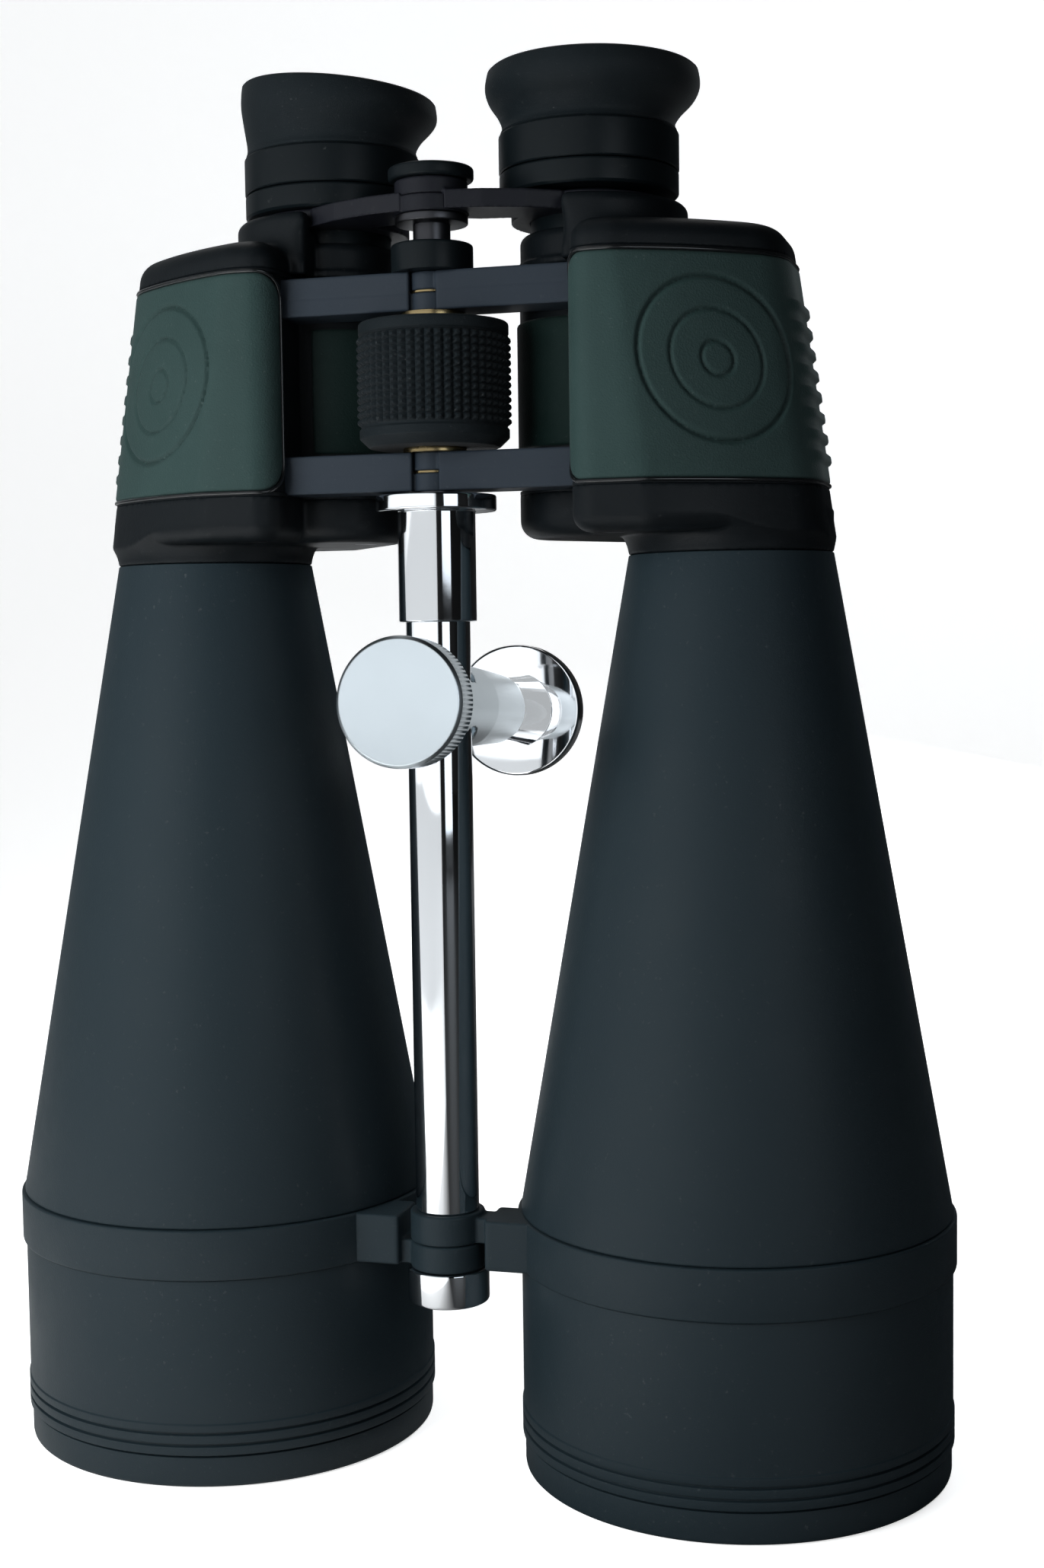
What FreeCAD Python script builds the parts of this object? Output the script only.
"""Giant astronomy binoculars with a centre hinge, centre focusing and a sliding tripod post.

Frame: millimetres, +Z up along the optical axes towards the eyepieces. The origin is midway
between the two barrels, in the plane of the objective rims, on which the binoculars can stand.
+X points to the half called right, and -Y is the face that carries the focus wheel and the lock knob.
Each half is drawn on the +X side, and the left half is its mirror image.
"""
import FreeCAD, Part
import math
import os

V = FreeCAD.Vector

# ---- driving dimensions -------------------------------------------------------------------------
objective_x = 62.0        # barrel axis from the middle
eyepiece_x = 30.5         # eyepiece axis from the middle
hinge_y = -20.5           # hinge axis, in front of the plane of the barrel axes
gap = 0.05                # clearance of screwed and running fits, on the radius
wall = 2.0                # casting wall

# barrel and objective
barrel_r = 48.6
barrel_top = 47.0
rim_r = 48.3
band_r = 49.4
band_top = 58.4
spigot_r = 47.0
cone_base_r = 48.7
cone_top = 205.5
cone_top_r = 22.7
neck_length = 8.0         # the tube's neck screws into the lower cover
neck_wall = 1.6
lens_r = 41.5
lens_front = 22.0

# prism housing, measured over the armour
housing_bottom = 219.5
housing_top = 269.0
lower_cover_bottom = 209.8
upper_cover_top = 275.4
boss_top = 283.0
boss_r = 22.0
boss_recess_r = 18.0
boss_start_x = 29.3       # the boss is open towards the hinge
guide_r = 15.6            # inner end of the upper cover, round the eyepiece tube
guide_top = 277.0
collar_r = 22.7
inner_end_r = 16.3        # round inner end, about the eyepiece axis
front_y = 33.6            # half depth of the wide part
step_x = 33.0             # inner side of the wide part
corner_r = 6.0
shoulder_r = 10.0         # from the front to the slanted face
face_r = 90.0             # the slanted face is almost flat
side_r = 16.0             # from the slanted face to the outer side
outer_x = 79.6            # outer side at half height
side_taper = 0.145        # the outer side leans inwards towards the eyepieces
face_point = (64.0, -24.7)
face_turn = 33.0          # how far the slanted face turns away from the front, in degrees
armour_t = 1.2
armour_proud = 0.25
armour_bottom = housing_bottom + 1.1
armour_top = housing_top - 1.1

# hinge
arm_front_y = -26.0
arm_back_y = -15.0
lower_arm = (219.9, 228.3)
upper_arm = (258.8, 267.2)
knuckle_r = 5.4
axle_r = 4.4
axle_bore_r = 3.05
washer_t = 0.3
right_arm_end = 2.4       # the arms stop short of the middle, so that the halves can open
left_arm_end = 3.7
band_knuckle_r = 8.4
band_split = 52.5
band_arm_x = 10.0
band_arm_front_y = -28.0
journal_r = 5.0

# focusing
wheel_r = 17.0
wheel_bottom = 229.5
wheel_top = 256.5
nut_r = 9.0
pin_r = 1.5               # cross pin between the spindle and the nut
pin_z = 240.0
spindle_r = 3.0
stem_r = 4.1
hub_core_r = 4.9
hub_r = 8.0
hub_bottom = 279.7
hub_split = 283.35
hub_top = 287.0
bridge_bottom = 280.0
bridge_top = 284.0
cap_r = 9.35
focus_up = 8.2
focus_down = 0.8

# eyepieces
tube_r = 13.2
tube_bore_r = 11.6
lens_bore_r = 10.3
ring_r = 17.5             # ring of the eyepiece arm
ocular_r = 20.15
ring_bottom = 285.2
ring_top = 290.5
head_bottom = 290.7
head_top = 299.1
cup_wall = 1.7
cup_heights = (0, 2.0, 4.5, 7.3, 9.8, 12.5, 17.0)           # above the seat of the cup
cup_drift = (0, 0, 0.3, 0.8, 1, 1, 1)                       # part of the shift at each height
# the soft cups stand a little differently, here the right one and the left one
cup_radii = ((19.9, 19.4, 20.6, 22.9, 23.9, 23.7, 22.4), (19.9, 19.4, 20.2, 21.6, 22.4, 22.4, 21.7))
cup_shift = (0.9, -1.9)   # how far the flare sits off the axis, away from the hinge
cup_lean = (0.0, 0.10)    # how steeply the rim rises towards the outer side
cup_rim_z = (313.2, 313.9)
diopter_set = 1.1         # the adjustable eyepiece is screwed in further

# tripod post
rod_r = 7.1
rod_bottom = 59.4
rod_top = 214.0
sleeve_bottom = 191.4
sleeve_r = 8.6
flange_r = 13.3
flange_bottom = 215.6
flange_top = 219.1
cap_bottom = 38.5
post_z = 173.0
post_tilt = 3.2           # the post leans down towards its foot, in degrees
liner_r = 7.9
block_r = 9.5
taper_end_y = 20.0        # the satin block tapers to here, and the polished post flares from here
taper_end_r = 8.4
post_r = 9.4
knob_r = 14.0
knob_front_y = -48.7
knob_back_y = -39.7
foot_r = 16.4
foot_front_y = 41.5
foot_back_y = 46.0
socket_r = 2.6            # tapping bore of a 1/4 inch, 20 per inch thread
spigot_depth = 8.0        # the foot is pinned into the post by a hollow spigot
foot_spigot_r = 4.6

hinge = V(0, hinge_y, 0)
objective = V(objective_x, 0, 0)
eyepiece = V(eyepiece_x, 0, 0)


# ---- helpers --------------------------------------------------------------------------------------
def disc(centre, z0, z1, radius):
    return Part.makeCylinder(radius, z1 - z0, V(centre.x, centre.y, z0))


def tube(centre, z0, z1, outer, inner):
    return disc(centre, z0, z1, outer).cut(disc(centre, z0 - 1, z1 + 1, inner))


def box(x0, x1, y0, y1, z0, z1):
    return Part.makeBox(x1 - x0, y1 - y0, z1 - z0, V(x0, y0, z0))


def turned(centre, points):
    """Solid of revolution about a vertical axis. points are (radius, z) round a closed profile."""
    corners = [V(centre.x + r, centre.y, z) for r, z in points]
    face = Part.Face(Part.makePolygon(corners + corners[:1]))
    return face.revolve(centre, V(0, 0, 1), 360)


def lens(centre, z_edge, edge_t, radius, bulge_down, bulge_up):
    """Lens with spherical faces. A bulge is how far a face stands out at its middle; negative is hollow."""
    low, high = z_edge, z_edge + edge_t

    def arc(z, rise):
        """Half section of one face, from its rim to its middle."""
        sphere = (radius * radius + rise * rise) / (2 * abs(rise))
        half_angle = 0.5 * math.asin(radius / sphere)
        sag = math.copysign(sphere * (1 - math.cos(half_angle)), rise)
        part_way = V(sphere * math.sin(half_angle), 0, z + rise - sag)
        return Part.Arc(V(radius, 0, z), part_way, V(0, 0, z + rise)).toShape()

    edges = [
        arc(low, -bulge_down),
        Part.LineSegment(V(radius, 0, low), V(radius, 0, high)).toShape(),
        arc(high, bulge_up),
        Part.LineSegment(V(0, 0, high + bulge_up), V(0, 0, low - bulge_down)).toShape(),
    ]
    outline_wire = Part.Wire(Part.__sortEdges__(edges))
    solid = Part.Face(outline_wire).revolve(V(0, 0, 0), V(0, 0, 1), 360)
    solid.translate(centre)
    return solid


def mirrored(shape):
    return shape.mirror(V(0, 0, 0), V(1, 0, 0))


def export(name, shape):
    solids = shape.Solids
    result = solids[0] if len(solids) == 1 else Part.makeCompound(solids)
    result.exportStep("parts/" + name + ".step")


# ---- housing outline ------------------------------------------------------------------------------
def outline(z, inset=0.0):
    """Plan of the right housing at height z, moved inwards by inset."""
    shift = -side_taper * (z - (housing_bottom + housing_top) / 2)
    turn = math.radians(face_turn)
    face_x = face_point[0] + shift - face_r * math.sin(turn)
    face_y = face_point[1] + face_r * math.cos(turn)
    side_x = outer_x + shift - side_r
    side_turn = math.asin((side_x - face_x) / (face_r - side_r))
    side_y = face_y - (face_r - side_r) * math.cos(side_turn)
    shoulder_y = shoulder_r - front_y
    shoulder_turn = math.acos((face_y - shoulder_y) / (face_r - shoulder_r))
    shoulder_x = face_x + (face_r - shoulder_r) * math.sin(shoulder_turn)
    corner_x, corner_y = step_x + corner_r, corner_r - front_y
    inner = inner_end_r - inset
    # the back runs straight from the inner end to the back corner, tangent to both
    across = V(corner_x - eyepiece_x, -corner_y, 0)
    back_turn = math.atan2(across.y, across.x) + math.acos((inner_end_r - corner_r) / across.Length)

    def rim(cx, cy, radius, angle):
        """Point on a circle, the angle counted from the front towards the outer side."""
        return V(cx + (radius - inset) * math.sin(angle), cy - (radius - inset) * math.cos(angle), z)

    def arc(cx, cy, radius, start, end):
        points = [rim(cx, cy, radius, a) for a in (start, (start + end) / 2, end)]
        return Part.Arc(*points).toShape()

    quarter = math.pi / 2
    back = back_turn + quarter
    arcs = [
        arc(corner_x, corner_y, corner_r, -quarter, 0),
        arc(shoulder_x, shoulder_y, shoulder_r, 0, shoulder_turn),
        arc(face_x, face_y, face_r, shoulder_turn, side_turn),
        arc(side_x, side_y, side_r, side_turn, quarter),
        arc(side_x, -side_y, side_r, quarter, math.pi - side_turn),
        arc(face_x, -face_y, face_r, math.pi - side_turn, math.pi - shoulder_turn),
        arc(shoulder_x, -shoulder_y, shoulder_r, math.pi - shoulder_turn, math.pi),
        arc(corner_x, -corner_y, corner_r, math.pi, back),
        arc(eyepiece_x, 0, inner_end_r, back, 2 * math.pi),
    ]
    step = V(step_x + inset, -inner, z)
    edges = []
    for i, edge in enumerate(arcs):
        edges.append(edge)
        start = edge.Vertexes[-1].Point
        end = arcs[(i + 1) % len(arcs)].Vertexes[0].Point
        stops = [start, step, end] if i == len(arcs) - 1 else [start, end]
        for p, q in zip(stops, stops[1:]):
            if p.distanceToPoint(q) > 1e-6:
                edges.append(Part.LineSegment(p, q).toShape())
    return Part.Wire(edges)


def block(z0, z1, inset=0.0):
    return Part.makeLoft([outline(z0, inset), outline(z1, inset)], True, True)


def edges_at(shape, z, low_radius=None):
    """Edges lying wholly at height z, for rounding."""
    flat = [e for e in shape.Edges if abs(e.BoundBox.ZMin - z) < 1e-4 and abs(e.BoundBox.ZMax - z) < 1e-4]
    if low_radius is None:
        return flat
    return [e for e in flat if abs(getattr(e.Curve, "Radius", 0) - low_radius) < 1e-4]


# ---- objective end --------------------------------------------------------------------------------
def objective_barrel():
    groove_w, groove_d, rib_r = 0.7, 0.7, barrel_r + 0.3
    lens_top = lens_front + 20.5
    points = [(44.2, 0), (rim_r - 0.8, 0), (rim_r, 0.8)]
    for z in (6.8, 9.4, 12.0):
        edge_r = rim_r if z < 7 else rib_r
        floor_r = edge_r - groove_d
        points += [(edge_r, z), (floor_r, z + 0.1), (floor_r, z + groove_w), (rib_r, z + groove_w)]
    points[-1] = (barrel_r, 12.0 + groove_w)
    points += [(barrel_r, barrel_top), (spigot_r + gap, barrel_top), (spigot_r + gap, lens_top)]
    points += [(40.0, lens_top), (40.0, lens_top - 2), (lens_r + gap, lens_top - 2)]
    points += [(lens_r + gap, lens_front - 4), (44.2, lens_front - 4)]
    return turned(objective, points)


def objective_lenses():
    """Cemented pair, the convex crown in front and the flint behind it."""
    crown_edge, shared_bulge = 3.5, 5.8
    z = lens_front
    crown = lens(objective, z, crown_edge, lens_r, 4.6, shared_bulge)
    flint = lens(objective, z + crown_edge + gap, 9.0, lens_r, -shared_bulge, 1.4)
    return crown, flint


def retaining_ring():
    return tube(objective, lens_front - 4.0, lens_front - 0.5, lens_r, 40.0)


def cone_tube():
    neck_r, neck_end = cone_top_r - 1.4, cone_top + neck_length
    neck_bore, spigot_bore = neck_r - neck_wall, spigot_r - 2.4
    return turned(objective, [
        (spigot_r, 43.0), (spigot_r, band_top), (cone_base_r, band_top), (cone_top_r, cone_top),
        (neck_r, cone_top), (neck_r, neck_end), (neck_bore, neck_end), (neck_bore, cone_top - 6),
        (spigot_bore, band_top + 4), (spigot_bore, 43.0),
    ])


def bridge_band(right):
    """Clamp ring round the barrel with an arm and half of the front hinge."""
    z0, z1 = barrel_top + gap, band_top - gap
    knuckle = (band_split + 0.1, rod_bottom - gap) if right else (46.4, band_split)
    arm = box(band_arm_x, 30, band_arm_front_y, -13, z0, z1)
    web_z0, web_z1 = (knuckle[0], z1) if right else (z0, knuckle[1])
    web = box(0, band_arm_x + 1, hinge_y - 3.5, hinge_y + 3.5, web_z0, web_z1)
    body = tube(objective, z0, z1, band_r, spigot_r + 2 * gap)
    arm = arm.cut(disc(objective, z0 - 1, z1 + 1, spigot_r + 1))
    body = body.fuse([arm, web, disc(hinge, *knuckle, band_knuckle_r)])
    return body.cut(disc(hinge, 40, 70, journal_r + gap)).removeSplitter()


# ---- prism housing --------------------------------------------------------------------------------
def outer_armour():
    """Rubber cover of the wide part, with rounded corners beside the hinge arms."""
    sheet = block(armour_bottom, armour_top, -armour_proud)
    sheet = sheet.cut(block(armour_bottom - 1, armour_top + 1, armour_t))
    far, edge_x, window_r = 100.0, step_x - armour_proud - 0.1, 7.0
    window = box(edge_x, far, -60, 60, armour_bottom, armour_top)
    upright = [e for e in window.Edges if e.BoundBox.XMax < edge_x + 1 and e.BoundBox.YLength > 50]
    window = window.makeFillet(window_r, upright)
    inside = box(0, step_x + corner_r, -front_y + corner_r + 0.5, front_y - corner_r - 0.5, 200, 290)
    return sheet.common(window).cut(inside)


def inner_armour():
    """Rubber cover round the inner end, between the arms."""
    z0, z1 = lower_arm[1] + 1.2, upper_arm[0] - 1.2
    sheet = block(z0, z1, -armour_proud).cut(block(z0 - 1, z1 + 1, armour_t))
    return sheet.common(box(0, eyepiece_x - 2.0, -30, 30, z0, z1))


def hinge_arm(z0, z1, own_half, other_half, right):
    """One arm of a half, with its own half of the knuckle and room for the other's."""
    start_x = right_arm_end if right else left_arm_end
    arm = box(start_x, step_x + 1.5, arm_front_y, arm_back_y, z0, z1)
    arm = arm.cut(disc(hinge, other_half[0], other_half[1], knuckle_r + 0.25))
    web = box(0, start_x + 1, hinge_y - 3, hinge_y + 4, *own_half)
    return arm.fuse([web, disc(hinge, *own_half, knuckle_r)])


def prism_housing(right, armour):
    inside = block(housing_bottom - 1, housing_top + 1, armour_t + wall)
    arms = []
    for z0, z1 in (lower_arm, upper_arm):
        middle = (z0 + z1) / 2
        high = (middle + washer_t / 2 + gap, z1)
        low = (z0, middle - washer_t / 2 - gap)
        own, other = (high, (z0 - 1, high[0])) if right else (low, (low[1], z1 + 1))
        arms.append(hinge_arm(z0, z1, own, other, right))
    body = block(housing_bottom, housing_top).cut(inside).fuse(arms)
    for sheet in armour:
        body = body.cut(sheet)
    body = body.cut(inside)
    return body.cut(disc(hinge, 200, 290, axle_r + gap)).removeSplitter()


def lower_cover():
    """Closes the housing at the objective end and holds the threaded neck of the cone tube."""
    edge_r, neck_r, blend_r = 4.0, cone_top_r - 1.4, 8.0
    plate = block(lower_cover_bottom, housing_bottom)
    plate = plate.makeFillet(edge_r, edges_at(plate, lower_cover_bottom))
    low, high = cone_top + gap, lower_cover_bottom + edge_r + 0.2
    profile = ((0, low), (collar_r, low), (collar_r, low + 0.5), (collar_r + blend_r, high), (0, high))
    corners = [V(objective_x + r, 0, z) for r, z in profile]
    bend = V(objective_x + collar_r + 0.25 * blend_r, 0, low + 0.6 * (high - low))
    edges = [Part.LineSegment(p, q).toShape() for p, q in zip(corners, corners[1:] + corners[:1])]
    edges[2] = Part.Arc(corners[2], bend, corners[3]).toShape()
    collar = Part.Face(Part.Wire(edges)).revolve(objective, V(0, 0, 1), 360)
    collar = collar.common(block(low - 1, high + 1, 0.05))
    body = plate.fuse([collar, disc(objective, low, lower_cover_bottom + 5, collar_r)])
    # the neck screws in up to a shoulder, and the light path above it is narrower
    body = body.cut(disc(objective, 200, cone_top + neck_length + gap, neck_r + gap))
    return body.cut(disc(objective, 200, 230, neck_r - neck_wall)).removeSplitter()


def upper_cover():
    """Closes the housing at the eyepiece end. Its boss round the eyepiece is open towards the hinge."""
    base, open_r = housing_top, 1.5
    plate = block(base, upper_cover_top)
    plate = plate.makeFillet(5.0, edges_at(plate, upper_cover_top))
    plate = plate.cut(box(0, boss_start_x, -60, 60, base + 1.5, upper_cover_top + 1))
    boss = disc(eyepiece, base, boss_top, boss_r)
    boss = boss.makeFillet(2.0, edges_at(boss, boss_top))
    boss = boss.cut(box(0, boss_start_x, -60, 60, base - 1, boss_top + 1))
    boss = boss.cut(disc(eyepiece, guide_top + 1.9, boss_top + 1, boss_recess_r))
    upright = [
        e for e in boss.Edges
        if abs(e.BoundBox.XMin - boss_start_x) < 1e-4 and e.BoundBox.ZLength > 8
        and abs(e.BoundBox.YMin) > 20 and e.BoundBox.YLength < 1e-3
    ]
    boss = boss.makeFillet(open_r, upright)
    guide = disc(eyepiece, base, guide_top, guide_r)
    guide = guide.makeFillet(2.0, edges_at(guide, guide_top))
    body = plate.fuse([boss, guide]).cut(disc(eyepiece, 250, 300, tube_r + gap))
    return body.removeSplitter()


def cover_screws(cover_top, cover_bottom):
    """Three countersunk screws in each cover, head and shank, one solid each."""
    screws = []
    top_places = [V(44, -24, 0), V(62, 0, 0), V(44, 24, 0)]
    bottom_places = [V(41, -25, 0), V(24, 0, 0), V(41, 25, 0)]
    for places, face, out in ((top_places, cover_top, 1), (bottom_places, cover_bottom, -1)):
        for place in places:
            head = [(0, 0), (2.6, 0), (1.5, -out * 1.3), (1.5, -out * 6), (0, -out * 6)]
            slot = box(place.x - 3, place.x + 3, place.y - 0.3, place.y + 0.3, face - 0.6, face + 0.6)
            shape = turned(place, [(r, face + z) for r, z in head]).cut(slot)
            screws.append(shape)
    return screws


def prisms():
    """Two crossed right-angle prisms on either side of the prism plate."""
    middle = (housing_bottom + housing_top) / 2
    half_length, half_width, plate_t = 19.5, 9.5, 2.0
    shift = (objective_x - eyepiece_x) / 2

    def prism(cx, cy, turn, up):
        base = middle + up * (plate_t / 2 + gap)
        apex = base + up * half_length
        ridge = 1.5
        triangle = [
            V(-half_length, -half_width, base), V(half_length, -half_width, base),
            V(ridge, -half_width, apex - up * ridge), V(-ridge, -half_width, apex - up * ridge),
        ]
        face = Part.Face(Part.makePolygon(triangle + triangle[:1]))
        solid = face.extrude(V(0, 2 * half_width, 0))
        solid.rotate(V(0, 0, 0), V(0, 0, 1), turn)
        solid.translate(V(cx, cy, 0))
        return solid

    first = prism(objective_x - shift / 2, shift / 2, 135, 1)
    second = prism(eyepiece_x + shift / 2, shift / 2, 45, -1)
    plate = block(middle - plate_t / 2, middle + plate_t / 2, armour_t + wall + gap)
    for x, y in ((objective_x, 0), (objective_x - shift, shift), (eyepiece_x, 0)):
        plate = plate.cut(disc(V(x, y, 0), middle - 3, middle + 3, 9.0))
    return second, first, plate


# ---- eyepieces ------------------------------------------------------------------------------------
def eyepiece_tube():
    return tube(eyepiece, housing_top + 1.3, bridge_top + 0.9, tube_r, tube_bore_r)


def eyepiece_ring():
    return turned(eyepiece, [
        (tube_r + gap, ring_bottom), (ocular_r - 0.6, ring_bottom),
        (ocular_r - 0.1, ring_bottom + 0.5), (ocular_r - 0.1, ring_top - 0.3),
        (ocular_r - 0.4, ring_top), (tube_r + gap, ring_top),
    ])


def ocular_head():
    """Lens barrel that slides in the eyepiece tube, with the head that carries the eyecup."""
    barrel_out, spigot = tube_bore_r - gap, 17.4
    return turned(eyepiece, [
        (lens_bore_r, 273.0), (barrel_out, 273.0), (barrel_out, head_bottom),
        (ocular_r - 0.3, head_bottom), (ocular_r, head_bottom + 0.3),
        (ocular_r, head_top - 0.3), (ocular_r - 0.3, head_top),
        (spigot, head_top), (spigot, 303.0), (13.4, 303.0),
        (lens_bore_r + 0.4, 300.5), (lens_bore_r, 300.5),
    ])


def eye_lenses():
    """Eye lens just under the eyecup, and the field lens group below it."""
    eye = lens(eyepiece, 294.0, 3.6, lens_bore_r, 1.0, 2.2)
    field = lens(eyepiece, 276.0, 2.6, lens_bore_r, 0.9, 1.8)
    return eye, field


def eyecup(side):
    """Fold-down rubber cup with a flared, rounded rim. The flare sits a little off the axis."""
    foot, seat_r, bore_r = head_top + gap, 15.5, 17.45
    levels = list(zip(cup_heights, cup_radii[side], cup_drift))

    def ring(height, radius, drift):
        middle = V(eyepiece_x + drift * cup_shift[side], 0, foot + height)
        return Part.Wire(Part.Circle(middle, V(0, 0, 1), radius).toShape())

    skin = Part.makeLoft([ring(*level) for level in levels], True)
    hollow = [ring(height, radius - cup_wall, drift) for height, radius, drift in levels[3:-1]]
    height, radius, drift = levels[-1]
    hollow = [ring(5.0, seat_r, 0.3)] + hollow + [ring(height + 0.5, radius - cup_wall, drift)]
    cup = skin.cut(Part.makeLoft(hollow, True))
    cup = cup.cut(disc(eyepiece, foot - 1, foot + 3.95, bore_r)).cut(disc(eyepiece, foot, foot + 6, 14.2))
    reach = 40.0
    lid = Part.makeBox(2 * reach, 2 * reach, reach, V(-reach, -reach, 0))
    lid.rotate(V(0, 0, 0), V(0, 1, 0), -math.degrees(math.atan(cup_lean[side])))
    lid.translate(V(eyepiece_x, 0, cup_rim_z[side]))
    return cup.cut(lid)


def eyepiece_arm(right):
    """Arm from the focusing spindle to one eyepiece tube."""
    hub = (hub_split + gap, hub_top) if right else (hub_bottom, hub_split - gap)
    other = (bridge_bottom - 1, hub[0]) if right else (hub[1], bridge_top + 1)
    plan = ((5, -27.3), (13, -25.8), (22, -22.4), (29, -18), (25, -10), (9, -13), (5, -15))
    corners = [V(x, y, bridge_bottom) for x, y in plan]
    outline_face = Part.Face(Part.makePolygon(corners + corners[:1]))
    plate = outline_face.extrude(V(0, 0, bridge_top - bridge_bottom))
    grip = disc(eyepiece, bridge_bottom, bridge_top, ring_r)
    body = plate.fuse(grip).cut(disc(hinge, other[0], other[1], hub_r + 0.15))
    body = body.fuse(disc(hinge, *hub, hub_r)).cut(disc(eyepiece, 270, 290, tube_r))
    return body.cut(disc(hinge, 270, 290, hub_core_r + gap)).removeSplitter()


# ---- centre ---------------------------------------------------------------------------------------
def hinge_axle():
    """Hollow hinge pin, slotted for the cross pin that carries the focusing travel."""
    half_width, end_play = pin_r + gap, 0.4
    low, high = pin_z - focus_down - pin_r - end_play, pin_z + focus_up + pin_r + end_play
    slot = box(-8, 8, hinge_y - half_width, hinge_y + half_width, low, high)
    return tube(hinge, 205.0, 271.0, axle_r, axle_bore_r).cut(slot)


def hinge_collar():
    low, bore, stem_bore = upper_arm[1] + gap, axle_r + gap / 2, stem_r + 0.2
    return turned(hinge, [
        (bore, low), (9.0, low), (9.0, 272.9), (8.5, 273.4),
        (stem_bore, 273.4), (stem_bore, 271.1), (bore, 271.1),
    ])


def hinge_washers():
    """Brass washers between the knuckles and at both ends of the focus wheel."""
    rings = []
    for z0, z1 in (lower_arm, upper_arm):
        middle = (z0 + z1) / 2
        rings.append((middle - washer_t / 2, middle + washer_t / 2, knuckle_r))
    rings.append((lower_arm[1] + gap, wheel_bottom - gap, 7.0))
    rings.append((wheel_top + gap, upper_arm[0] - gap, 7.0))
    return Part.makeCompound([tube(hinge, z0, z1, r, axle_r + gap) for z0, z1, r in rings])


def focus_wheel():
    """Wheel with a threaded chamber, in which the focusing nut climbs as the wheel turns."""
    bore, chamber = axle_r + gap, nut_r + gap
    edge, rim = 0.8, wheel_r - 0.5
    return turned(hinge, [
        (bore, wheel_bottom), (wheel_r - 2.6, wheel_bottom), (rim, wheel_bottom + 2.0),
        (rim, wheel_bottom + 3.8), (wheel_r, wheel_bottom + 4.2), (wheel_r, wheel_top - 3.0),
        (rim, wheel_top - 2.6), (rim, wheel_top - edge), (rim - edge, wheel_top), (bore, wheel_top),
        (bore, wheel_top - 2.0), (chamber, wheel_top - 2.0),
        (chamber, wheel_bottom + 2.5), (bore, wheel_bottom + 2.5),
    ])


def focusing_parts():
    pin_half = 8.6
    pin = Part.makeCylinder(pin_r, 2 * pin_half, V(-pin_half, hinge_y, pin_z), V(1, 0, 0))
    nut = tube(hinge, 235.5, 244.5, nut_r, axle_r + gap).cut(pin)
    shoulder, end = hub_bottom - 0.15, hub_top + gap
    spindle = turned(hinge, [
        (0, 234.0), (spindle_r, 234.0), (spindle_r, 272.4), (stem_r, 272.4), (stem_r, 277.8),
        (hub_r, 277.8), (hub_r, shoulder), (hub_core_r, shoulder), (hub_core_r, end), (0, end),
    ]).cut(pin)
    cap = turned(hinge, [
        (0, end + gap), (cap_r, end + gap), (cap_r, 289.3), (cap_r - 0.7, 290.0), (0, 290.0),
    ]).cut(box(-3.2, 3.2, hinge_y - 0.5, hinge_y + 0.5, 289.2, 291))
    return spindle, nut, pin, cap


# ---- tripod rod and post --------------------------------------------------------------------------
def tripod_rod():
    body = turned(hinge, [
        (0, 41.0), (journal_r, 41.0), (journal_r, rod_bottom),
        (rod_r, rod_bottom), (rod_r, rod_top), (0, rod_top),
    ])
    return body.cut(disc(hinge, 204.9, 220, axle_r))


def rod_flange():
    """Chromed sleeve and flange that lock the rod against the lower hinge arms."""
    edge, bore, neck = 0.4, rod_r + gap, axle_r + gap
    return turned(hinge, [
        (bore, sleeve_bottom), (sleeve_r, sleeve_bottom), (sleeve_r, flange_bottom),
        (flange_r - edge, flange_bottom), (flange_r, flange_bottom + edge),
        (flange_r, flange_top - edge), (flange_r - edge, flange_top),
        (neck, flange_top), (neck, rod_top + gap), (bore, rod_top + gap),
    ])


def rod_end_cap():
    outer, bore = band_knuckle_r + 0.8, journal_r + gap
    return turned(hinge, [
        (0, cap_bottom), (outer - 0.6, cap_bottom), (outer, cap_bottom + 0.6), (outer, 45.9),
        (outer - 0.3, 46.3), (bore, 46.3), (bore, 40.9), (0, 40.9),
    ])


def clamp_liner():
    half = 4.5
    ring = tube(hinge, post_z - half, post_z + half, liner_r, rod_r + gap)
    return ring.cut(box(-0.5, 0.5, hinge_y, hinge_y + 12, post_z - half - 1, post_z + half + 1))


def leaning(shape):
    """Tilts a shape drawn along Y at the height of the post to the post's own axis."""
    shape.rotate(V(0, hinge_y, post_z), V(1, 0, 0), -post_tilt)
    return shape


def post_turned(points):
    """Solid of revolution about the post's own axis. points are (radius, y)."""
    corners = [V(r, y, post_z) for r, y in points]
    face = Part.Face(Part.makePolygon(corners + corners[:1]))
    return leaning(face.revolve(V(0, 0, post_z), V(0, 1, 0), 360))


def post_bore(y0, y1, radius):
    return leaning(Part.makeCylinder(radius, y1 - y0, V(0, y0, post_z), V(0, 1, 0)))


def adapter_post():
    """Clamp block round the rod, tapering into the round post."""
    end = foot_front_y - gap
    body = post_turned([
        (0, -39.3), (block_r - 0.5, -39.3), (block_r, -38.8), (block_r, -6.0),
        (taper_end_r, taper_end_y), (post_r, end), (0, end),
    ])
    body = body.cut(disc(hinge, post_z - 20, post_z + 20, liner_r + gap))
    body = body.cut(post_bore(foot_front_y - spigot_depth - 1, foot_front_y, foot_spigot_r + gap))
    return body.cut(post_bore(-60, hinge_y, 3.0 + gap))


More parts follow.
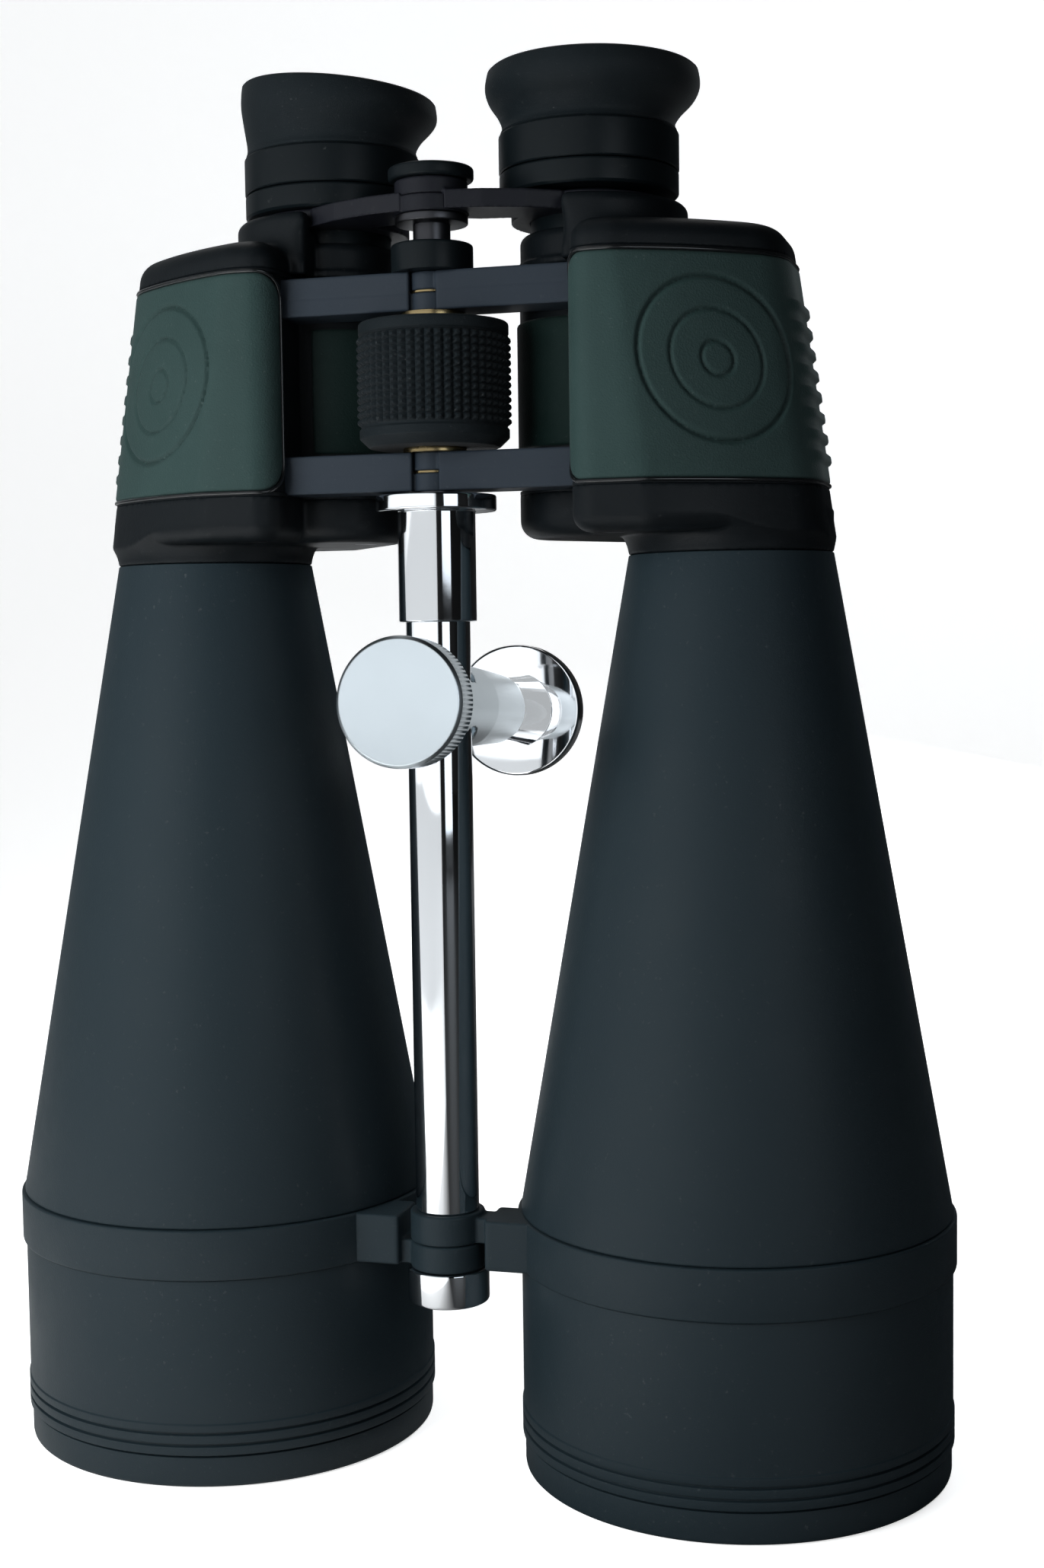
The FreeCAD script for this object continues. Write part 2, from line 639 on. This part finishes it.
def adapter_foot():
    """Flat foot that stands on the tripod bracket, with the tripod screw's socket."""
    edge, spigot_start = 0.5, foot_front_y - spigot_depth
    return post_turned([
        (socket_r, spigot_start), (foot_spigot_r, spigot_start), (foot_spigot_r, foot_front_y),
        (foot_r - edge, foot_front_y), (foot_r, foot_front_y + edge),
        (foot_r, foot_back_y - edge), (foot_r - edge, foot_back_y), (socket_r, foot_back_y),
    ])


def lock_parts():
    screw_r, tip_r, edge = 3.0, 2.4, 0.8
    # the leaning tip is drawn back so that its upper corner clears the liner
    corner_reach = tip_r * math.sin(math.radians(post_tilt))
    seat, tip = knob_front_y + 3, hinge_y - liner_r - gap - corner_reach
    screw = post_turned([
        (0, seat), (screw_r, seat), (screw_r, -30.2), (tip_r, -30.0), (tip_r, tip), (0, tip),
    ])
    knob = post_turned([
        (0, knob_front_y), (knob_r - edge, knob_front_y), (knob_r, knob_front_y + edge),
        (knob_r, knob_back_y - edge), (knob_r - edge, knob_back_y),
        (screw_r + gap, knob_back_y), (screw_r + gap, seat - gap), (0, seat - gap),
    ])
    return screw, knob


# ---- assembly -------------------------------------------------------------------------------------
def half(side):
    """Every piece of one half."""
    right = side == "right"
    place = (lambda shape: shape) if right else mirrored
    crown, flint = objective_lenses()
    outer, inner = outer_armour(), inner_armour()
    lower_prism, upper_prism, plate = prisms()
    screws = cover_screws(upper_cover_top, lower_cover_bottom)
    top_cover, bottom_cover = upper_cover(), lower_cover()
    housing = prism_housing(right, [outer, inner])
    for screw in screws:
        top_cover, bottom_cover = top_cover.cut(screw), bottom_cover.cut(screw)
    eye, field = eye_lenses()
    pieces = {
        "objective_barrel": objective_barrel(),
        "objective_crown": crown,
        "objective_flint": flint,
        "retaining_ring": retaining_ring(),
        "cone_tube": cone_tube(),
        "bridge_band": bridge_band(right),
        "prism_housing": housing,
        "outer_armour": outer,
        "inner_armour": inner,
        "lower_cover": bottom_cover,
        "upper_cover": top_cover,
        "cover_screws": Part.makeCompound(screws),
        "lower_prism": lower_prism,
        "upper_prism": upper_prism,
        "prism_plate": plate,
        "eyepiece_tube": eyepiece_tube(),
        "eyepiece_arm": eyepiece_arm(right),
        "diopter_ring" if not right else "eyepiece_ring": eyepiece_ring(),
        "ocular_head": ocular_head(),
        "eyecup": eyecup(0 if right else 1),
        "eye_lens": eye,
        "field_lens": field,
    }
    if not right:
        for name in ("diopter_ring", "ocular_head", "eyecup", "eye_lens"):
            pieces[name].translate(V(0, 0, -diopter_set))
    return {side + "_" + name: place(shape) for name, shape in pieces.items()}


def centre():
    spindle, nut, pin, cap = focusing_parts()
    screw, knob = lock_parts()
    return {
        "hinge_axle": hinge_axle(),
        "hinge_collar": hinge_collar(),
        "hinge_washers": hinge_washers(),
        "focus_wheel": focus_wheel(),
        "focus_spindle": spindle,
        "focus_nut": nut,
        "focus_pin": pin,
        "spindle_cap": cap,
        "tripod_rod": tripod_rod(),
        "rod_flange": rod_flange(),
        "rod_end_cap": rod_end_cap(),
        "clamp_liner": clamp_liner(),
        "adapter_post": adapter_post(),
        "adapter_foot": adapter_foot(),
        "lock_screw": screw,
        "lock_knob": knob,
    }


os.makedirs("parts", exist_ok=True)
for group in (half("left"), half("right"), centre()):
    for name, shape in group.items():
        export(name, shape)
